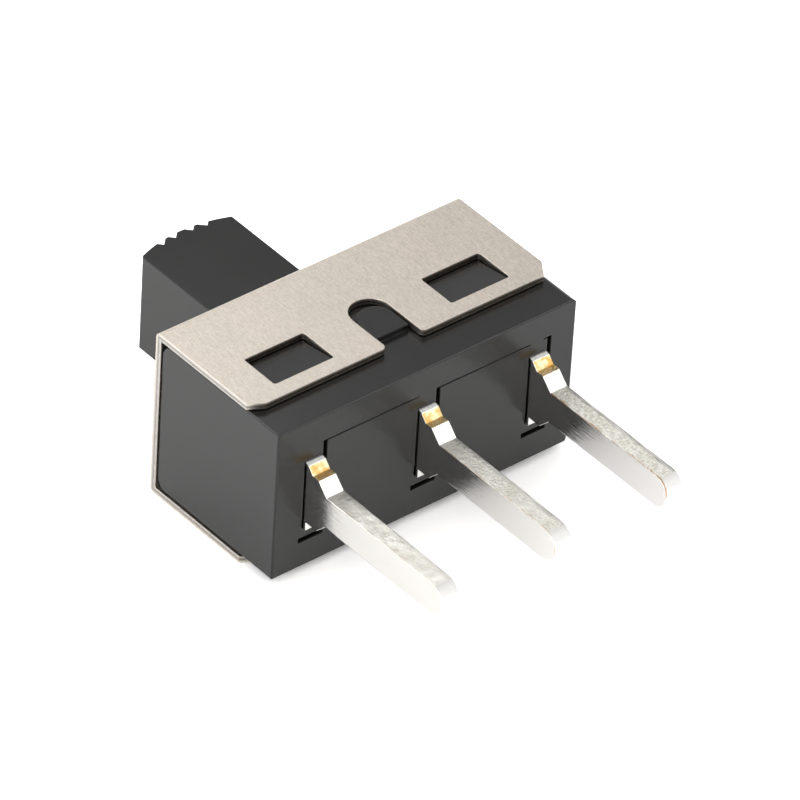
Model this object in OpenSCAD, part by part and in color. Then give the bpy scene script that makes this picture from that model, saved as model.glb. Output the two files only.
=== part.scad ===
// Miniature slide switch with one pole and two positions, lying on one flange of its cover.
// X is the slide direction, -Y the terminal side, +Y the knob side and +Z up, in millimetres.
// The origin is the centre of the pin face, where the middle terminal leaves the base.
// The slider stands at the left end of its travel.

/* [Terminals] */
// Distance between neighbouring terminals
pitch = 4.7; // [4:0.1:6]
// Thickness of the terminal sheet
blade_t = 0.7; // [0.4:0.05:0.9]
// Width of a terminal where it passes through the base
blade_w = 2.72; // [2:0.02:3.4]
// Height of the contact blade above the floor of the base
blade_rise = 1.4; // [1.3:0.1:2]
// How far each shoulder that rests on the floor stands out from the blade
shoulder_w = 0.12; // [0.05:0.01:0.2]
// Height of those shoulders
shoulder_h = 0.3; // [0.2:0.05:0.4]
// Length of a terminal from the pin face to its tip
pin_l = 6.95; // [3:0.05:9]
// Width of the terminal's narrow shank
shank_w = 1.2; // [1.1:0.05:1.6]
// Length of the root, the full width outside the pin face
root_l = 0.15; // [0.05:0.01:0.4]
// How far the root's upper edge falls towards the tongue
root_drop = 0.06; // [0:0.01:0.1]
// How far the tongue below the root is set in from each edge
tongue_in = 0.33; // [0.15:0.01:0.5]
// Length of the tongue
tongue_l = 0.54; // [0.4:0.01:1]
// Length of the sheared slope from the root to the tongue's upper edge
slope_l = 0.24; // [0.1:0.01:0.35]
// Length of the neck between tongue and shank
neck_l = 0.43; // [0.2:0.01:1]
// Radius of the corners at the tip
tip_r = 0.54; // [0.1:0.02:0.54]

/* [Moving contact] */
// Thickness of the bronze sheet
clip_t = 0.2; // [0.1:0.02:0.3]
// How far the fingers stand off beside their contact pads
clip_flare = 0.12; // [0.05:0.01:0.2]
// Length of the bends that lead into a contact pad
finger_lead = 0.25; // [0.15:0.01:0.3]
// Height of the fingers
finger_h = 0.9; // [0.6:0.05:1]
// Inner radius of the clip's folds
clip_bend_r = 0.1; // [0.05:0.01:0.15]
// Diameter of the slider's peg that holds the clip
peg_d = 0.6; // [0.4:0.05:0.7]

/* [Base] */
// Thickness of the floor that holds the terminals
floor_t = 1.5; // [1:0.1:3]
// Thickness of the long side walls
wall_t = 0.78; // [0.5:0.01:1.2]
// Thickness of the end walls
end_wall = 0.8; // [0.5:0.05:1.5]
// Width of the ledges that carry the slider
ledge_w = 0.35; // [0.2:0.05:0.8]
// Room between an outer terminal and its end wall
end_room = 0.4; // [0.2:0.05:1]
// Radius of the two rim edges that lie in the cover's folds
rim_r = 0.5; // [0.2:0.05:0.6]
// Size of the cut edges round the pin face and at the left end
edge_cut = 0.05; // [0.03:0.01:0.15]
// Radius of the two long edges at the right end
end_r = 0.25; // [0.05:0.01:0.4]
// How far a terminal's pocket reaches past the blade at top and bottom
pocket_margin = 0.57; // [0.3:0.01:0.7]
// Width of the slit on the right of a terminal
slit_w = 0.15; // [0.08:0.01:0.2]
// Width of the slit below a terminal
low_slit_w = 0.2; // [0.08:0.01:0.3]
// Width of the narrow slit on the left of a terminal
relief_w = 0.03; // [0.02:0.01:0.1]
// Depth of all these slits
slit_d = 0.4; // [0.2:0.05:0.8]
// Width of the moulding line from one pocket to the next
line_w = 0.05; // [0.03:0.01:0.1]
// Depth of that line
line_d = 0.08; // [0.03:0.01:0.15]
// Length of the line that turns off over the right terminal
hook_l = 0.35; // [0.1:0.05:0.5]

/* [Cover] */
// Thickness of the cover's sheet
sheet_t = 0.25; // [0.2:0.01:0.4]
// Inner radius of the two folds
fold_r = 0.05; // [0.03:0.01:0.2]
// Outer radius of the two folds, pressed sharp
fold_out_r = 0.2; // [0.1:0.01:0.4]
// Length of a flange from the outside of the plate to its free edge
flange_l = 5; // [4:0.02:5.4]
// How far the cover stands past each end of the base
cover_over = 0.05; // [0:0.05:0.4]
// Distance of a window's centre from the middle of the flange
window_x = 3.69; // [3:0.01:4.2]
// Width of a window
window_w = 2.46; // [1.6:0.02:2.8]
// Length of a window away from the free edge
window_l = 1.6; // [1:0.05:1.8]
// Strip of sheet between a window and the free edge
window_strip = 0.6; // [0.4:0.02:1]
// Corner radius of a window
window_r = 0.1; // [0.05:0.01:0.3]
// Width of the notch in the middle of the flange
notch_w = 1.5; // [1:0.05:2]
// Depth of the notch from the free edge
notch_l = 2.5; // [1.8:0.05:3]
// Radius of the two corners at the mouth of the notch
lip_r = 0.18; // [0.1:0.02:0.4]
// Length of the left cut corners along the free edge
left_corner_x = 0.56; // [0.2:0.02:0.8]
// Length of the left cut corners along the end
left_corner_y = 0.32; // [0.2:0.02:0.8]
// Length of the right cut corners along the free edge
right_corner_x = 0.42; // [0.2:0.02:0.8]
// Length of the right cut corners along the end
right_corner_y = 0.62; // [0.2:0.02:0.8]
// Corner radius of the knob's slot
slot_r = 0.2; // [0.1:0.05:0.5]

/* [Slider] */
// Travel between the two positions
travel = 2.3; // [1.8:0.1:3]
// Thickness of the slider's body under the plate
body_t = 2.75; // [2:0.05:3.5]
// Width of the knob along the travel
knob_w = 3.8; // [2.5:0.1:4.5]
// Height of the knob across the travel
knob_h = 3.8; // [2.5:0.1:4.4]
// Length of the knob from the outside of the plate to its crown
knob_l = 5.22; // [2:0.02:9]
// Radius of the crowned tip
crown_r = 5; // [3:0.1:12]
// Distance of the inner pair of grip grooves from the knob's middle
groove_in = 0.36; // [0.25:0.01:0.5]
// Distance of the outer pair of grip grooves from the knob's middle
groove_out = 0.91; // [0.75:0.01:1.1]
// Width of a grip groove
groove_w = 0.4; // [0.2:0.01:0.48]
// Depth of a grip groove
groove_d = 0.2; // [0.08:0.01:0.25]
// Size of the cut edges of the slider
slider_cut = 0.03; // [0.02:0.01:0.1]

/* [Detent] */
// Diameter of the two steel balls
ball_d = 1.2; // [0.8:0.05:1.4]
// Depth of the detent grooves in the side walls
detent_d = 0.15; // [0.08:0.01:0.25]
// Diameter of the spring's wire
wire_d = 0.15; // [0.1:0.01:0.2]
// Number of turns of the spring
spring_turns = 6.5; // [5:0.5:8]

/* [Clearances] */
// Between the base and the cover's flanges
cover_fit = 0.04; // [0.01:0.01:0.1]
// Between the rim of the base and the cover's plate
rim_gap = 0.07; // [0.02:0.01:0.2]
// Above and below the slider's body
run_gap = 0.05; // [0.02:0.01:0.1]
// On each side of the slider's body
side_gap = 0.1; // [0.05:0.01:0.15]
// At each end of the slider's travel
end_gap = 0.05; // [0.02:0.01:0.1]
// Round the knob in the plate's slot
knob_gap = 0.1; // [0.05:0.01:0.2]
// Round a terminal in its hole
pin_gap = 0.02; // [0.01:0.01:0.04]
// Between a finger's contact pad and a blade
contact_gap = 0.02; // [0.01:0.01:0.05]
// Between the fingers and the lower side walls
clip_room = 0.15; // [0.1:0.01:0.3]
// Between the top of a blade and the clip above it
blade_clear = 0.15; // [0.08:0.01:0.3]
// Below the fingers
finger_clear = 0.15; // [0.05:0.01:0.2]
// Round the clip's peg
peg_gap = 0.05; // [0.03:0.01:0.08]
// In front of a snap barb
barb_gap = 0.03; // [0.02:0.01:0.06]
// Beside and behind a snap barb
barb_side = 0.08; // [0.04:0.01:0.15]
// Height of a barb's ramp at its back
barb_foot = 0.05; // [0.02:0.01:0.1]
// How far a barb stays below the outside of the cover
barb_sunk = 0.03; // [0:0.01:0.1]
// Beside the boss in the notch
boss_side = 0.08; // [0.05:0.01:0.2]
// Behind the boss in the notch
boss_back = 0.38; // [0.1:0.02:0.5]
// From the free edge of the flange to the boss
boss_front = 0.62; // [0.4:0.02:0.9]
// How far the boss stays below the outside of the cover
boss_sunk = 0.07; // [0:0.01:0.15]
// Round a ball in its bore
ball_gap = 0.05; // [0.03:0.01:0.08]
// Between a ball and the flat of the side wall
detent_gap = 0.02; // [0.01:0.01:0.05]
// Between the spring and what it touches
spring_gap = 0.03; // [0.02:0.01:0.06]

/* [Hidden] */
$fn = 64;

// Overrun of a cut past the faces it leaves through
over = 1;

// Levels along Y, from the pin face at zero towards the knob
blade_y = floor_t + blade_rise;
web_y = blade_y + blade_clear;
body_y0 = web_y + clip_t;
body_y1 = body_y0 + body_t;
ledge_y = body_y0 - run_gap;
plate_in = body_y1 + run_gap;
plate_out = plate_in + sheet_t;
rim_y = plate_in - rim_gap;
free_y = plate_out - flange_l;
crown_y = plate_out + knob_l;
bore_y = body_y0 + body_t / 2;

// Half heights along Z, from the middle of the blades outwards
pad_z = blade_w / 2 + contact_gap;
arm_z = pad_z + clip_flare;
lower_z = arm_z + clip_t + clip_room;
upper_z = lower_z + ledge_w;
base_z = upper_z + wall_t;
cover_in_z = base_z + cover_fit;
cover_z = cover_in_z + sheet_t;
body_z = upper_z - side_gap;
pocket_z = blade_w / 2 + pocket_margin;

// Half lengths along X, from the middle terminal outwards
cavity_x = pitch + blade_t / 2 + end_room;
base_x = cavity_x + end_wall;
cover_x = base_x + cover_over;
body_x = cavity_x - travel / 2 - end_gap;
hole_x = blade_t / 2 + pin_gap;
pocket_x = hole_x + slit_w;
slit_left_x = hole_x + relief_w;

// Where the tongue and the neck of a terminal end, measured out from the pin face
tongue_end = root_l + tongue_l;
neck_end = tongue_end + neck_l;

// The clip's fingers bridge the middle blade and one outer blade at each end of the travel
pad_near = travel / 2 - blade_t / 2;
pad_far = pitch - travel / 2 + blade_t / 2;
saddle_x = pad_near - finger_lead;
finger_x = pad_far + finger_lead;
finger_y = floor_t + shoulder_h + finger_clear;

// Barbs and bosses of the base, from the cover's windows and notches
barb_y = free_y + window_strip + barb_gap;
barb_l = window_l - barb_gap - barb_side;
barb_h = cover_fit + sheet_t - barb_sunk;
boss_y = free_y + boss_front;
boss_r = notch_w / 2 - boss_side;
boss_end_y = free_y + notch_l - boss_back;
boss_h = cover_fit + sheet_t - boss_sunk;

// Balls, spring and grooves of the detent
ball_r = ball_d / 2;
bore_r = ball_r + ball_gap;
ball_z = upper_z - detent_gap - ball_r;
groove_z = upper_z + detent_d - bore_r;
coil_r = bore_r - spring_gap - wire_d / 2;
coil_z = ball_z - sqrt(pow(ball_r + wire_d / 2 + spring_gap, 2) - pow(coil_r, 2));

// Copies of a shape mirrored to both sides of the XY plane
module both_flanges() {
    for (side = [0, 1]) mirror([0, 0, side]) children();
}

// A (Y, Z) outline drawn out along X about the middle
module along_x(length) {
    rotate([90, 0, 90]) linear_extrude(height = length, center = true) children();
}

// An (X, Z) outline drawn out along Y between two levels
module along_y(from, to) {
    translate([0, to, 0]) rotate([90, 0, 0]) linear_extrude(height = to - from) children();
}

// An (X, Y) outline drawn out along Z about the middle
module along_z(length) {
    linear_extrude(height = length, center = true) children();
}

// The piece outside a rounded corner at the origin, the material lying towards -X and -Y
module corner_waste(r) {
    difference() {
        translate([-r, -r]) square(r + over);
        translate([-r, -r]) circle(r);
    }
}

// The piece outside a corner at the origin that is cut at 45 degrees, the material lying as above
module cut_waste(cut) {
    polygon([[-cut - over, over], [over, -cut - over], [over, over]]);
}

// A rectangle about the origin with rounded corners
module rounded_rectangle(width, height, r) {
    difference() {
        square([width, height], center = true);
        for (x = [0, 1], y = [0, 1])
            mirror([x, 0]) mirror([0, y]) translate([width / 2, height / 2]) corner_waste(r);
    }
}

// A strip from one X level to another with its two far corners rounded
module rounded_tongue(from, to, half, r) {
    difference() {
        translate([from, -half]) square([to - from, 2 * half]);
        for (side = [0, 1]) mirror([0, side]) translate([to, half]) corner_waste(r);
    }
}

// Section of a folded channel, open towards the smaller X
module channel_section(from, to, half, t, inner_r, outer_r) {
    difference() {
        rounded_tongue(from, to, half, outer_r);
        rounded_tongue(from - over, to - t, half - t, inner_r);
    }
}

// A four-sided prism outline that cuts the corners of a rectangle at 45 degrees
module corner_cutting_diamond(half_width, half_height, cut) {
    reach = half_width + half_height - cut;
    polygon([[reach, 0], [0, reach], [-reach, 0], [0, -reach]]);
}

// Openings of one flange, seen from above
module window_outline() {
    translate([window_x, free_y + window_strip + window_l / 2])
        rounded_rectangle(window_w, window_l, window_r);
}

module notch_outline() {
    r = notch_w / 2;
    translate([0, free_y + notch_l - r]) circle(r);
    translate([-r, free_y - over]) square([notch_w, notch_l - r + over]);
    for (side = [0, 1])
        mirror([side, 0]) difference() {
            translate([r - lip_r, free_y - over]) square([2 * lip_r, lip_r + over]);
            translate([r + lip_r, free_y + lip_r]) circle(lip_r);
        }
}

module corner_outline(length, width) {
    polygon([
        [cover_x - length, free_y],
        [cover_x - length, free_y - over],
        [cover_x + over, free_y - over],
        [cover_x + over, free_y + width],
        [cover_x, free_y + width]
    ]);
}

module cover() {
    color([0.80, 0.78, 0.74])
    difference() {
        along_x(2 * cover_x) channel_section(free_y, plate_out, cover_z, sheet_t, fold_r, fold_out_r);
        along_z(2 * (cover_z + over)) {
            notch_outline();
            for (side = [0, 1]) mirror([side, 0]) window_outline();
            corner_outline(right_corner_x, right_corner_y);
            mirror([1, 0]) corner_outline(left_corner_x, left_corner_y);
        }
        along_y(plate_in - over, plate_out + over)
            rounded_rectangle(knob_w + travel + 2 * knob_gap, knob_h + 2 * knob_gap, slot_r);
    }
}

// The base from the end, with cut edges round the pin face and a rounded rim
module base_end_outline() {
    difference() {
        rounded_tongue(0, rim_y, base_z, rim_r);
        for (side = [0, 1])
            mirror([0, side]) translate([0, base_z]) mirror([1, 0]) cut_waste(edge_cut);
    }
}

// The base from above, with cut edges round the pin face
module base_top_outline() {
    difference() {
        translate([-base_x, 0]) square([2 * base_x, rim_y]);
        for (side = [0, 1])
            mirror([side, 0]) translate([base_x, 0]) mirror([0, 1]) cut_waste(edge_cut);
    }
}

// The base from the knob side, with cut edges on the left and rounded ones on the right
module base_face_outline() {
    difference() {
        rounded_tongue(-base_x, base_x, base_z, end_r);
        for (side = [0, 1])
            mirror([0, side]) translate([-base_x, base_z]) mirror([1, 0]) cut_waste(edge_cut);
    }
}

module base_block() {
    intersection() {
        along_x(2 * (base_x + over)) base_end_outline();
        along_z(2 * (base_z + over)) base_top_outline();
        along_y(-over, rim_y + over) base_face_outline();
    }
}

// Ramp that the flange rides up over, seen from the end
module barb_outline() {
    root = base_z - wall_t / 2;
    polygon([
        [barb_y, root], [barb_y, base_z + barb_h], [barb_y + barb_l, base_z + barb_foot],
        [barb_y + barb_l, root]
    ]);
}

module barb() {
    translate([window_x, 0, 0]) along_x(window_w - 2 * barb_side) barb_outline();
}

module boss() {
    translate([0, 0, base_z - wall_t / 2]) linear_extrude(height = wall_t / 2 + boss_h) {
        translate([-boss_r, boss_y]) square([2 * boss_r, boss_end_y - boss_r - boss_y]);
        intersection() {
            translate([0, boss_end_y - boss_r]) circle(boss_r);
            translate([-boss_r - over, boss_end_y - boss_r]) square(2 * (boss_r + over));
        }
    }
}

module base_cavity() {
    along_y(ledge_y, rim_y + over) square([2 * cavity_x, 2 * upper_z], center = true);
    along_y(floor_t, ledge_y + over) square([2 * cavity_x, 2 * lower_z], center = true);
    both_flanges()
        for (side = [-1, 1])
            translate([side * travel / 2, bore_y - bore_r, groove_z])
                rotate([-90, 0, 0]) cylinder(r = bore_r, h = rim_y + over - bore_y + bore_r);
}

// Hole of one terminal and the slits beside and below it in the pin face
module terminal_hole() {
    along_y(-over, floor_t + over) square([2 * hole_x, blade_w + 2 * pin_gap], center = true);
    along_y(-over, slit_d) {
        translate([-slit_left_x, -blade_w / 2]) square([relief_w + pin_gap, blade_w]);
        translate([hole_x - pin_gap, -pocket_z]) square([slit_w + pin_gap, 2 * pocket_z]);
        translate([-pocket_x, -pocket_z]) square([2 * pocket_x, low_slit_w]);
    }
}

// Moulding line from the top of one terminal's slit to the next terminal
module face_line() {
    along_y(-over, line_d) translate([hole_x, pocket_z - line_w]) square([pitch - 2 * hole_x, line_w]);
}

// Short line that turns off to the left from the top of the last slit
module line_hook() {
    along_y(-over, line_d) translate([pocket_x - hook_l, pocket_z - line_w]) square([hook_l, line_w]);
}

module base() {
    color([0.24, 0.24, 0.23])
    difference() {
        union() {
            base_block();
            both_flanges() {
                boss();
                for (side = [0, 1]) mirror([side, 0, 0]) barb();
            }
        }
        base_cavity();
        for (n = [-1:1]) translate([n * pitch, 0, 0]) terminal_hole();
        for (n = [-1:0]) translate([n * pitch, 0, 0]) face_line();
        translate([pitch, 0, 0]) line_hook();
    }
}

// Moving pieces are drawn about the middle of the travel and set to its left end
module at_rest() {
    translate([-travel / 2, 0, 0]) children();
}

// The knob from above, with its crown, grip grooves and cut tip corners
module knob_outline() {
    end_y = crown_y - crown_r + sqrt(pow(crown_r, 2) - pow(knob_w / 2, 2));
    difference() {
        intersection() {
            translate([-knob_w / 2, body_y1 - body_t / 2]) square([knob_w, crown_y - body_y1 + body_t]);
            translate([0, crown_y - crown_r]) circle(crown_r, $fn = 192);
        }
        for (side = [-1, 1], x = [groove_in, groove_out]) {
            crown_drop = crown_r - sqrt(pow(crown_r, 2) - pow(x, 2));
            translate([side * x, crown_y - crown_drop - groove_d])
                polygon([[0, 0], [groove_w, 2 * groove_d], [-groove_w, 2 * groove_d]]);
        }
        for (side = [0, 1])
            mirror([side, 0]) translate([knob_w / 2, end_y]) cut_waste(slider_cut);
    }
}

module slider() {
    color([0.20, 0.20, 0.19])
    at_rest() difference() {
        union() {
            intersection() {
                along_y(body_y0, body_y1) square([2 * body_x, 2 * body_z], center = true);
                along_y(body_y0 - over, body_y1 + over) corner_cutting_diamond(body_x, body_z, slider_cut);
            }
            intersection() {
                along_z(knob_h) knob_outline();
                along_y(body_y0, crown_y + over) corner_cutting_diamond(knob_w / 2, knob_h / 2, slider_cut);
            }
            translate([0, web_y, 0]) rotate([-90, 0, 0]) cylinder(d = peg_d, h = clip_t + body_t / 4);
        }
        translate([0, bore_y, 0]) cylinder(r = bore_r, h = 2 * (body_z + over), center = true);
    }
}

// One sprung arm of the clip, seen from above, with a contact pad on each side of the saddle
module arm_outline() {
    stand_off = [[-finger_x, arm_z], [-pad_far, pad_z], [-pad_near, pad_z], [-saddle_x, arm_z],
                 [saddle_x, arm_z], [pad_near, pad_z], [pad_far, pad_z], [finger_x, arm_z]];
    outside = [for (n = [len(stand_off) - 1:-1:0]) stand_off[n] + [0, clip_t]];
    polygon(concat(stand_off, outside));
}

module moving_contact() {
    color([0.78, 0.60, 0.36])
    at_rest() difference() {
        union() {
            along_x(2 * saddle_x)
                channel_section(finger_y, body_y0, arm_z + clip_t, clip_t, clip_bend_r, clip_bend_r + clip_t);
            both_flanges() along_y(finger_y, finger_y + finger_h) arm_outline();
        }
        translate([0, web_y - over, 0]) rotate([-90, 0, 0])
            cylinder(r = peg_d / 2 + peg_gap, h = clip_t + 2 * over);
    }
}

// Height of the spring's wire at a share of its turns, with closed end turns
function coil_level(turn) =
    let (open_turns = spring_turns - 2, step = wire_d + spring_gap, rise = 2 * (coil_z - step))
    turn < 1 ? -coil_z + step * turn
    : turn > spring_turns - 1 ? coil_z - step * (spring_turns - turn)
    : -coil_z + step + rise * (turn - 1) / open_turns;

module detent_spring() {
    sides = 8;
    steps_per_turn = 20;
    rings = spring_turns * steps_per_turn;
    points = [for (n = [0:rings], s = [0:sides - 1])
        let (a = 360 * n / steps_per_turn, b = 360 * s / sides, r = coil_r + wire_d / 2 * cos(b))
        [r * cos(a), r * sin(a), coil_level(n / steps_per_turn) + wire_d / 2 * sin(b)]];
    walls = [for (n = [0:rings - 1], s = [0:sides - 1])
        let (t = (s + 1) % sides)
        [n * sides + s, n * sides + t, (n + 1) * sides + t, (n + 1) * sides + s]];
    first_end = [for (s = [sides - 1:-1:0]) s];
    last_end = [for (s = [0:sides - 1]) rings * sides + s];
    color([0.72, 0.72, 0.72])
    at_rest() translate([0, bore_y, 0])
        polyhedron(points, concat([first_end], walls, [last_end]));
}

module detent_ball(side) {
    color([0.75, 0.75, 0.76])
    at_rest() translate([0, bore_y, side * ball_z]) sphere(ball_r);
}

module detent_ball_upper() {
    detent_ball(1);
}

module detent_ball_lower() {
    detent_ball(-1);
}

// One edge of a stamped terminal from its tip to its blade, with -Y of the switch towards smaller X here.
// The step from the root to the tongue is square, or falls over a slope where the strip was sheared off.
function terminal_edge(drop, slope) =
    let (root = blade_w / 2, tongue = root - tongue_in, shank = shank_w / 2, shoulder = root + shoulder_w)
    [[-pin_l, shank], [-neck_end, shank], [-tongue_end, tongue], [-root_l - slope, tongue],
     [-root_l, root - drop], [0, root], [floor_t, root], [floor_t, shoulder],
     [floor_t + shoulder_h, shoulder], [floor_t + shoulder_h, root], [blade_y, root]];

module terminal_outline() {
    upper = terminal_edge(root_drop, slope_l);
    lower = terminal_edge(0, 0);
    lower_back = [for (n = [len(lower) - 1:-1:0]) [lower[n][0], -lower[n][1]]];
    difference() {
        polygon(concat(upper, lower_back));
        for (side = [0, 1])
            mirror([0, side]) translate([-pin_l, shank_w / 2]) mirror([1, 0]) corner_waste(tip_r);
    }
}

module terminal(place) {
    color([0.86, 0.84, 0.78])
    translate([place * pitch, 0, 0]) along_x(blade_t) terminal_outline();
}

module terminal_left() {
    terminal(-1);
}

module terminal_common() {
    terminal(0);
}

module terminal_right() {
    terminal(1);
}

cover();
base();
slider();
moving_contact();
detent_spring();
detent_ball_upper();
detent_ball_lower();
terminal_left();
terminal_common();
terminal_right();
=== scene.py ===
"""Looks of a miniature slide switch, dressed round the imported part."""

import math

import bpy
from mathutils import Matrix, Vector


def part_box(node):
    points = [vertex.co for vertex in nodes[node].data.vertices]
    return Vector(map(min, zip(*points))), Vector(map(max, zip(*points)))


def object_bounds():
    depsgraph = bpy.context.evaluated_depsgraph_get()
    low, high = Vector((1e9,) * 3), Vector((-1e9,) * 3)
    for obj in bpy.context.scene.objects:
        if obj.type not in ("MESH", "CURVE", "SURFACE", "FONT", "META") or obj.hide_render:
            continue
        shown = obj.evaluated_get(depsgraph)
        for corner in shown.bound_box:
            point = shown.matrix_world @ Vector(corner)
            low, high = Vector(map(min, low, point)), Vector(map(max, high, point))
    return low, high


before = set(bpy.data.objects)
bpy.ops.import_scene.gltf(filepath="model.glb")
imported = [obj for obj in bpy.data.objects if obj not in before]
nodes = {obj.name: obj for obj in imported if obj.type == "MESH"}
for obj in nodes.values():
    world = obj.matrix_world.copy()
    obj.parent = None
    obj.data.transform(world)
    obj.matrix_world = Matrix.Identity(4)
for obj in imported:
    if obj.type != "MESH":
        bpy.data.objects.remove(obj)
cad_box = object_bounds()
scene = bpy.context.scene

MM = 0.001
# Thickness of the cover's sheet, and the outer part of a cut edge that the punch only rolled over
SHEET, ROLL = 0.25 * MM, 0.06 * MM
# Where the bare sheared part of a terminal starts and ends below the pin face
BARE_START, BARE_END = 0.16 * MM, 0.69 * MM
terminal_low, terminal_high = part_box("terminal_common")
# Thickness of a terminal, and the distance from one to the next
BLADE = terminal_high.x - terminal_low.x
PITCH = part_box("terminal_right")[0].x - terminal_low.x
cover_points = [v.co for v in nodes["cover"].data.vertices]
cover_top = max(p.z for p in cover_points)
plate_outside = max(p.y for p in cover_points)
# A face looks along an axis where it is turned that way by more than the first share, and is level
# where it is turned up or down by more than the second
TURNED, LEVEL = 0.5, 0.95
# Rounding of edges in millimetres, on the cover and the mouldings and on the terminals
EDGE_MM, PIN_EDGE_MM = 0.05, 0.06
NYLON_IOR = 1.42
BURR_BROWN = "#B98F62"
# Brightness of the room in front of the switch, behind it, and of the backdrop low behind it;
# 1 is white
FRONT_LEVEL, BACK_LEVEL, BACKDROP_LEVEL = 0.85, 0.75, 0.66
# The floor is overexposed in the photograph, so it shows and mirrors brighter than white
FLOOR_LEVEL = 1.62
FLOOR_HALF = 400 * MM
# A hair of room under the lowest flange, so that its face and the floor do not coincide
FLOOR_GAP = 0.01 * MM


def linear(hex_colour):
    """An sRGB hex colour as linear red, green, blue and alpha."""
    shares = [int(hex_colour[n:n + 2], 16) / 255 for n in (1, 3, 5)]
    return [s / 12.92 if s <= 0.04045 else ((s + 0.055) / 1.055) ** 2.4 for s in shares] + [1.0]


def add(tree, kind, inputs=None, **settings):
    """Adds a node with its settings; an input given as a socket is linked, any other is set."""
    node = tree.nodes.new(kind)
    for name, value in settings.items():
        setattr(node, name, value)
    for name, value in (inputs or {}).items():
        if isinstance(value, bpy.types.NodeSocket):
            tree.links.new(value, node.inputs[name])
        else:
            node.inputs[name].default_value = value
    return node


def calc(tree, operation, *values):
    """The result of a calculation with sockets and numbers."""
    return add(tree, "ShaderNodeMath", dict(enumerate(values)), operation=operation).outputs["Value"]


def mix(tree, share, first, second, blend_type="MIX"):
    """Two colours or values, mixed by the share of the second."""
    return add(tree, "ShaderNodeMixRGB", {
        "Fac": share, "Color1": first, "Color2": second}, blend_type=blend_type).outputs["Color"]


def remap(tree, value, low=0.0, high=1.0, to_low=0.0, to_high=1.0, interpolation="LINEAR"):
    """A value between low and high, stretched to another range and held at its ends."""
    return add(tree, "ShaderNodeMapRange", {
        "Value": value, "From Min": low, "From Max": high, "To Min": to_low, "To Max": to_high},
        interpolation_type=interpolation).outputs["Result"]


def noise(tree, place, scale, detail, roughness=0.5):
    """A cloudy pattern between 0 and 1, mostly near its middle."""
    return add(tree, "ShaderNodeTexNoise", {
        "Vector": place, "Scale": scale, "Detail": detail, "Roughness": roughness}).outputs["Fac"]


def per_mm(size):
    """Texture scale that repeats once in a size given in millimetres, for coordinates in metres."""
    return 1 / (size * MM)


def stretched_noise(tree, place, sizes_mm, detail, roughness):
    """A cloudy pattern with its own size along each axis."""
    stretched = add(tree, "ShaderNodeMapping", {
        "Vector": place, "Scale": [per_mm(size) for size in sizes_mm]})
    return noise(tree, stretched.outputs["Vector"], 1.0, detail, roughness)


def rounded(tree, radius_mm):
    """A surface direction that rounds the edges."""
    return add(tree, "ShaderNodeBevel", {"Radius": radius_mm * MM}, samples=8).outputs["Normal"]


def raised(tree, height, strength, depth_mm, normal):
    """A surface direction with a height pattern pressed into another one."""
    return add(tree, "ShaderNodeBump", {
        "Strength": strength, "Distance": depth_mm * MM, "Height": height,
        "Normal": normal}).outputs["Normal"]


def new_material(name):
    """An empty node material and its tree."""
    material = bpy.data.materials.new(name)
    material.use_nodes = True
    material.node_tree.nodes.clear()
    return material, material.node_tree


def on_part(tree):
    """The place on the part, in metres."""
    return add(tree, "ShaderNodeTexCoord").outputs["Object"]


def by_axis(tree, place):
    """The place split by axis, and how far the face there looks along each axis, either way."""
    at = add(tree, "ShaderNodeSeparateXYZ", {"Vector": place}).outputs
    normal = add(tree, "ShaderNodeTexCoord").outputs["Normal"]
    facing = add(tree, "ShaderNodeVectorMath", {0: normal}, operation="ABSOLUTE").outputs["Vector"]
    return at, add(tree, "ShaderNodeSeparateXYZ", {"Vector": facing}).outputs


def surface(tree, inputs):
    """Ends a material with one surface."""
    shader = add(tree, "ShaderNodeBsdfPrincipled", inputs)
    add(tree, "ShaderNodeOutputMaterial", {"Surface": shader.outputs["BSDF"]})


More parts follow.
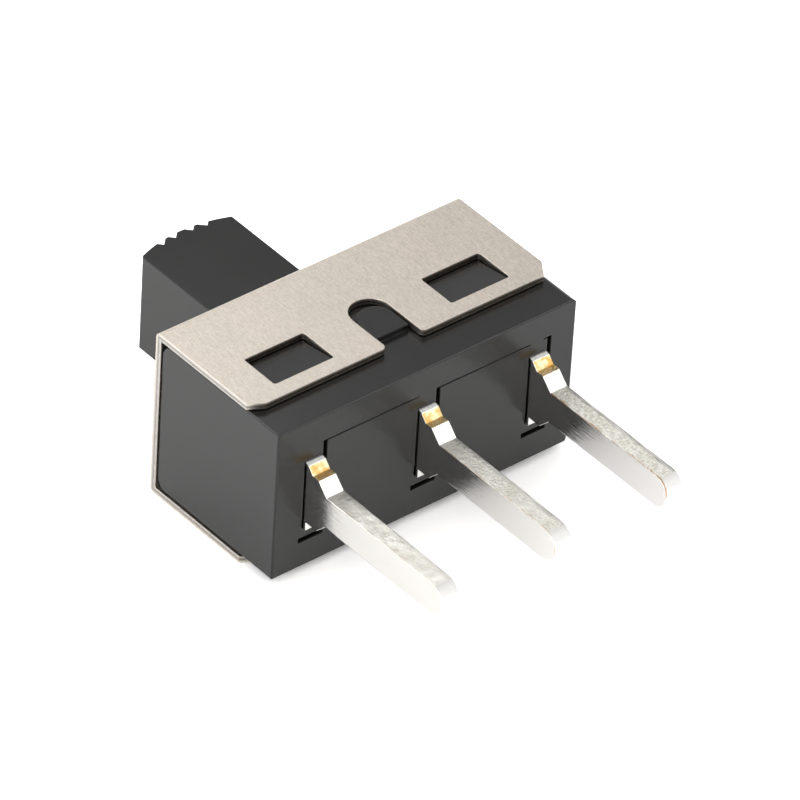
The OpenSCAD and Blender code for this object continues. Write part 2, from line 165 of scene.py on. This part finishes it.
# Cover: cold-rolled steel strip with a satin nickel plate. The eye sees a warm light grey that stays
# bright, with a fine grain from the rolls, white rims where the punch rolled the edges over, and torn
# metal in the openings, made darker there by painted shade.
def nickel_plated_rolled_steel():
    material, tree = new_material("nickel_plated_rolled_steel")
    place = on_part(tree)
    at, face = by_axis(tree, place)

    # Rolling lines are about 0.01 mm apart; drawn at 0.05 mm so that they show in the render.
    lines = stretched_noise(tree, place, (0.05, 0.3, 0.2), 2.0, 0.6)
    specks = noise(tree, place, per_mm(0.06), 2.0, 0.7)
    grain = remap(tree, mix(tree, 0.55, lines, specks), 0.3, 0.7)
    cloud = noise(tree, place, per_mm(2.5), 2.0)
    rolled = mix(tree, grain, linear("#BFB7AF"), linear("#E4DCD4"))
    tinted = mix(tree, cloud, linear("#FFFAF6"), linear("#F4F6F2"))
    plate = mix(tree, 1.0, rolled, tinted, "MULTIPLY")
    plate_rough = remap(tree, grain, to_low=0.32, to_high=0.42)

    # A cut face looks along X anywhere, or not along Z on a flange; its outer rim is rolled and
    # plated.
    across = calc(tree, "GREATER_THAN", face["X"], TURNED)
    upright = calc(tree, "LESS_THAN", face["Z"], TURNED)
    on_flange = calc(tree, "LESS_THAN", at["Y"], plate_outside - 1.5 * SHEET)
    any_cut = calc(tree, "MAXIMUM", across, calc(tree, "MULTIPLY", upright, on_flange))
    under_top = calc(tree, "SUBTRACT", cover_top, calc(tree, "ABSOLUTE", at["Z"]))
    under_plate = calc(tree, "SUBTRACT", plate_outside, at["Y"])
    depth = calc(tree, "MINIMUM", under_top, under_plate)
    cut = calc(tree, "MULTIPLY", any_cut, calc(tree, "GREATER_THAN", depth, ROLL))

    # Through the sheet: sheared metal with one ragged torn line. Painted light and shade: cut faces
    # that look along X, as at the ends, get a lighter copy, and those that look along Y, as in the
    # openings, a darker one.
    tears = noise(tree, place, per_mm(0.16), 3.0, 0.7)
    ragged = calc(tree, "MULTIPLY_ADD", tears, 0.4 * SHEET, depth)
    torn = calc(tree, "COMPARE", ragged, 0.75 * SHEET, 0.12 * SHEET)
    # Painted light and shade: a lighter and a darker copy of the same sheared steel, chosen by facing.
    painted_lit_cut_tone = mix(tree, torn, linear("#BCBAB7"), linear("#969390"))
    painted_shaded_cut_tone = mix(tree, torn, linear("#A59E94"), linear("#6A6359"))
    sheared = mix(tree, face["X"], painted_shaded_cut_tone, painted_lit_cut_tone)
    speckled = mix(tree, tears, linear("#D8D2C8"), linear("#FFFFFF"))
    cut_tone = mix(tree, 1.0, sheared, speckled, "MULTIPLY")
    cut_rough = remap(tree, tears, to_low=0.3, to_high=0.5)

    surface(tree, {
        "Base Color": mix(tree, cut, plate, cut_tone),
        "Metallic": 1.0,
        "Roughness": mix(tree, cut, plate_rough, cut_rough),
        "Normal": raised(tree, grain, 0.15, 0.01, rounded(tree, EDGE_MM))})
    return material


# Base and slider: glass-filled black nylon, moulded in a fine-spark-eroded tool. The eye sees a dark
# neutral grey with a soft sheen that mirrors bright things near it as blurred patches.
def moulded_black_nylon(name, dark, pale, rough_low, rough_high):
    material, tree = new_material(name)
    place = on_part(tree)
    # The grain of the tool is about 0.03 mm; drawn at 0.09 mm so that it shows in the render.
    grain = noise(tree, place, per_mm(0.09), 3.0, 0.6)
    flow = noise(tree, place, per_mm(1.6), 3.0)
    surface(tree, {
        "Base Color": mix(tree, flow, linear(dark), linear(pale)),
        "Roughness": remap(tree, flow, to_low=rough_low, to_high=rough_high),
        "IOR": NYLON_IOR,
        "Normal": raised(tree, grain, 0.12, 0.01, rounded(tree, EDGE_MM))})
    return material


# Terminals: half-hard brass with bright silver plate. The eye sees near-white mirror faces with fine
# rolling streaks, sparkling torn edges with a dull sheared band on one side and a thin brown burr on
# the other, and bare pale brass where the strip was cut off beside the base.
def silver_plated_brass():
    material, tree = new_material("silver_plated_brass")
    place = on_part(tree)
    at, face = by_axis(tree, place)
    narrow = calc(tree, "LESS_THAN", face["X"], TURNED)
    level = calc(tree, "GREATER_THAN", face["Z"], LEVEL)

    # Wide faces: streaks along the strip, about 0.01 mm apart, drawn at 0.06 mm so that they show.
    streaks = stretched_noise(tree, place, (0.06, 0.9, 0.06), 3.0, 0.6)
    scores = remap(tree, streaks, 0.35, 0.65)
    silver = mix(tree, streaks, linear("#DAD9D8"), linear("#E6E5E4"))
    # Painted shade and light: the left terminal's wide faces are painted the dullest and the right
    # one's the brightest, evening out the mirrored floor, brighter in the left one and more shaded in
    # the right one.
    rightward = remap(tree, at["X"], -PITCH, PITCH)
    painted_reflection_tone = mix(tree, rightward, linear("#EBEAE6"), linear("#F8F7F6"))
    plate = mix(tree, 1.0, silver, painted_reflection_tone, "MULTIPLY")
    plate_rough = remap(tree, streaks, to_low=0.12, to_high=0.22)

    # Level edges: torn metal with grains of about 0.08 mm and softer patches. The left terminal's are
    # worn nearly smooth and the right one's are torn most.
    grains = noise(tree, place, per_mm(0.08), 2.0, 0.6)
    patches = noise(tree, place, per_mm(0.5), 2.0)
    tear = remap(tree, rightward, to_low=0.2, to_high=0.9)
    marks = remap(tree, mix(tree, tear, patches, grains), 0.35, 0.65)
    hollows = mix(tree, tear, linear("#EBE7DD"), linear("#D0CCBF"))
    torn = mix(tree, marks, hollows, linear("#FFFEF6"))
    edge_rough = remap(tree, marks, to_low=0.5, to_high=0.36)

    # Across an edge, from 0 at the left wide face to 1 at the right one, a little ragged: the burr
    # lies at the left and the dull sheared band at the right.
    across = calc(tree, "WRAP", at["X"], PITCH / 2, -PITCH / 2)
    share = remap(tree, across, -BLADE / 2, BLADE / 2)
    ragged = calc(tree, "MULTIPLY_ADD", patches, 0.3, share)
    burr = remap(tree, ragged, 0.17, 0.2, to_low=tear, to_high=0.0)
    dull = remap(tree, ragged, 0.9, 1.0, to_high=tear)
    dull_tone = mix(tree, scores, linear("#86847F"), linear("#EDEBE6"))
    sheared = mix(tree, dull, torn, dull_tone)
    rimmed = mix(tree, burr, sheared, linear(BURR_BROWN))

    # The neck's slopes and the coined tip are plated evenly and brighter than the wide faces. The
    # slopes are as smooth as those; the tip is dull, and the burr runs round it.
    outer_half = calc(tree, "LESS_THAN", at["Y"], terminal_low.y / 2)
    tip = calc(tree, "MULTIPLY", outer_half, narrow)
    coined = mix(tree, streaks, linear("#E2E1DE"), linear("#EDECE9"))
    coined_rim = mix(tree, calc(tree, "MULTIPLY", tip, burr), coined, linear(BURR_BROWN))
    smooth = mix(tree, narrow, plate, coined_rim)
    tip_rough = remap(tree, streaks, to_low=0.55, to_high=0.65)
    smooth_rough = mix(tree, tip, plate_rough, tip_rough)

    # Bare brass on the narrow edges close to the base.
    past_root = calc(tree, "LESS_THAN", at["Y"], -BARE_START)
    above_neck = calc(tree, "GREATER_THAN", at["Y"], -BARE_END)
    bare = calc(tree, "MULTIPLY", calc(tree, "MULTIPLY", past_root, above_neck), narrow)
    blotches = remap(tree, noise(tree, place, per_mm(0.25), 2.0), 0.35, 0.65)
    brass = mix(tree, blotches, linear("#ECBE6C"), linear("#FFF0C6"))
    bare_rough = remap(tree, blotches, to_low=0.5, to_high=0.36)

    # The strip is not quite flat: dents of about half a millimetre break up what its faces mirror.
    dents = raised(tree, patches, 0.15, 0.03, rounded(tree, PIN_EDGE_MM))
    relief = mix(tree, level, remap(tree, scores, to_high=0.12), marks)

    surface(tree, {
        "Base Color": mix(tree, bare, mix(tree, level, smooth, rimmed), brass),
        "Metallic": 1.0,
        "Roughness": mix(tree, bare, mix(tree, level, smooth_rough, edge_rough), bare_rough),
        "Normal": raised(tree, relief, 1.0, 0.02, dents)})
    return material


# Inner metal: rolled bronze, drawn spring wire and ground balls, told apart by colour and polish.
def plain_metal(name, dark, pale, mark_mm, rough_low, rough_high):
    material, tree = new_material(name)
    place = on_part(tree)
    marks = noise(tree, place, per_mm(mark_mm), 3.0)
    surface(tree, {
        "Base Color": mix(tree, marks, linear(dark), linear(pale)),
        "Metallic": 1.0,
        "Roughness": remap(tree, marks, to_low=rough_low, to_high=rough_high)})
    return material


cover_steel = nickel_plated_rolled_steel()
base_nylon = moulded_black_nylon("moulded_black_nylon", "#141413", "#1A1A19", 0.19, 0.28)
knob_nylon = moulded_black_nylon("moulded_black_knob_nylon", "#090907", "#0D0D0B", 0.2, 0.28)
pin_brass = silver_plated_brass()
clip_bronze = plain_metal("rolled_contact_bronze", "#B58A4E", "#D0A667", 0.2, 0.22, 0.34)
spring_wire = plain_metal("drawn_spring_wire", "#9A9A98", "#B8B8B6", 0.1, 0.25, 0.35)
ball_steel = plain_metal("ground_ball_steel", "#BDBDBE", "#D2D2D3", 0.3, 0.06, 0.1)

FINISHES = {
    "cover": cover_steel,
    "base": base_nylon,
    "slider": knob_nylon,
    "moving_contact": clip_bronze,
    "detent_spring": spring_wire,
    "detent_ball_upper": ball_steel,
    "detent_ball_lower": ball_steel,
    "terminal_left": pin_brass,
    "terminal_common": pin_brass,
    "terminal_right": pin_brass,
}
for name, finish in FINISHES.items():
    nodes[name].data.materials.clear()
    nodes[name].data.materials.append(finish)


# Floor: matt white card, which keeps the switch's shadow.
def white_card():
    material, tree = new_material("white_card")
    path = add(tree, "ShaderNodeLightPath").outputs
    shows = calc(tree, "MAXIMUM", path["Is Camera Ray"], path["Is Glossy Ray"])
    bright = [FLOOR_LEVEL * c for c in linear("#FFFFFF")]
    shader = add(tree, "ShaderNodeBsdfDiffuse", {"Color": mix(tree, shows, linear("#E8E8E6"), bright)})
    add(tree, "ShaderNodeOutputMaterial", {"Surface": shader.outputs["BSDF"]})
    return material


floor_z = cad_box[0].z - FLOOR_GAP
corners = ((-1, -1), (1, -1), (1, 1), (-1, 1))
floor_mesh = bpy.data.meshes.new("floor")
floor_mesh.from_pydata(
    [(x * FLOOR_HALF, y * FLOOR_HALF, floor_z) for x, y in corners], [], [(0, 1, 2, 3)])
floor_mesh.materials.append(white_card())
floor = bpy.data.objects.new("floor", floor_mesh)
scene.collection.objects.link(floor)

# World: white where it is seen. As light it is a pale room, dimmer behind, with a lit backdrop low
# behind.
world = bpy.data.worlds.new("studio")
world.use_nodes = True
sky = world.node_tree
sky.nodes.clear()
towards = add(sky, "ShaderNodeSeparateXYZ", {
    "Vector": add(sky, "ShaderNodeTexCoord").outputs["Generated"]}).outputs
room = remap(sky, towards["Y"], -0.1, 0.6, FRONT_LEVEL, BACK_LEVEL, "SMOOTHSTEP")
behind = remap(sky, towards["Y"], 0.0, 0.4, 0.0, BACKDROP_LEVEL)
low = remap(sky, towards["Z"], 0.1, 0.4, 1.0, 0.0, "SMOOTHSTEP")
soft = add(sky, "ShaderNodeBackground", {
    "Color": linear("#FFFFFF"), "Strength": calc(sky, "MULTIPLY_ADD", behind, low, room)})
white = add(sky, "ShaderNodeBackground", {"Color": linear("#FFFFFF"), "Strength": 1.0})
shown = add(sky, "ShaderNodeMixShader", {
    "Fac": add(sky, "ShaderNodeLightPath").outputs["Is Camera Ray"],
    1: soft.outputs["Background"], 2: white.outputs["Background"]})
add(sky, "ShaderNodeOutputWorld", {"Surface": shown.outputs["Shader"]})
scene.world = world


def softbox(name, place_mm, width_mm, height_mm, radiance):
    """A rectangular area lamp that faces the switch; a radiance of 1 mirrors as white."""
    lamp = bpy.data.lights.new(name, "AREA")
    lamp.shape = "RECTANGLE"
    lamp.size = width_mm * MM
    lamp.size_y = height_mm * MM
    lamp.energy = radiance * math.pi * lamp.size * lamp.size_y
    holder = bpy.data.objects.new(name, lamp)
    holder.location = Vector(place_mm) * MM
    holder.rotation_euler = (-holder.location).to_track_quat("-Z", "Y").to_euler()
    holder.visible_camera = False
    scene.collection.objects.link(holder)


softbox("left_softbox", (-250, -40, 50), 260, 120, 4.0)
softbox("front_key", (130, -155, 146), 80, 80, 2.7)
softbox("back_left_strip", (-123, 118, 105), 60, 60, 4.0)
softbox("near_card", (14, 48, 58), 40, 26, 1.4)

# Camera: a long lens, found by fitting the cover's, base's and terminals' corners to the photograph.
# Angles are in degrees before they are turned to radians; distances are in millimetres.
AZIMUTH, ELEVATION, ROLL_ANGLE = (math.radians(a) for a in (-41.485, 37.911, 3.606))
DISTANCE = 292.53
AIM_RIGHT, AIM_UP = -0.897, 1.203
FOCAL_PIXELS, PICTURE_PIXELS, SENSOR = 9000, 800, 36
right = Vector((math.cos(AZIMUTH), math.sin(AZIMUTH), 0))
level_back = Vector((math.sin(AZIMUTH), -math.cos(AZIMUTH), 0))
back = level_back * math.cos(ELEVATION) + Vector((0, 0, math.sin(ELEVATION)))
up = back.cross(right)
rolled_right = right * math.cos(ROLL_ANGLE) + up * math.sin(ROLL_ANGLE)
rolled_up = up * math.cos(ROLL_ANGLE) - right * math.sin(ROLL_ANGLE)
turn = Matrix((rolled_right, rolled_up, back)).transposed().to_4x4()
stand = (right * AIM_RIGHT + up * AIM_UP + back * DISTANCE) * MM
lens = bpy.data.cameras.new("camera")
lens.sensor_width = SENSOR
lens.lens = FOCAL_PIXELS / PICTURE_PIXELS * SENSOR
lens.clip_start = 10 * MM
lens.clip_end = 10
camera = bpy.data.objects.new("camera", lens)
camera.matrix_world = Matrix.Translation(stand) @ turn
scene.collection.objects.link(camera)
scene.camera = camera

scene.view_settings.view_transform = "Standard"
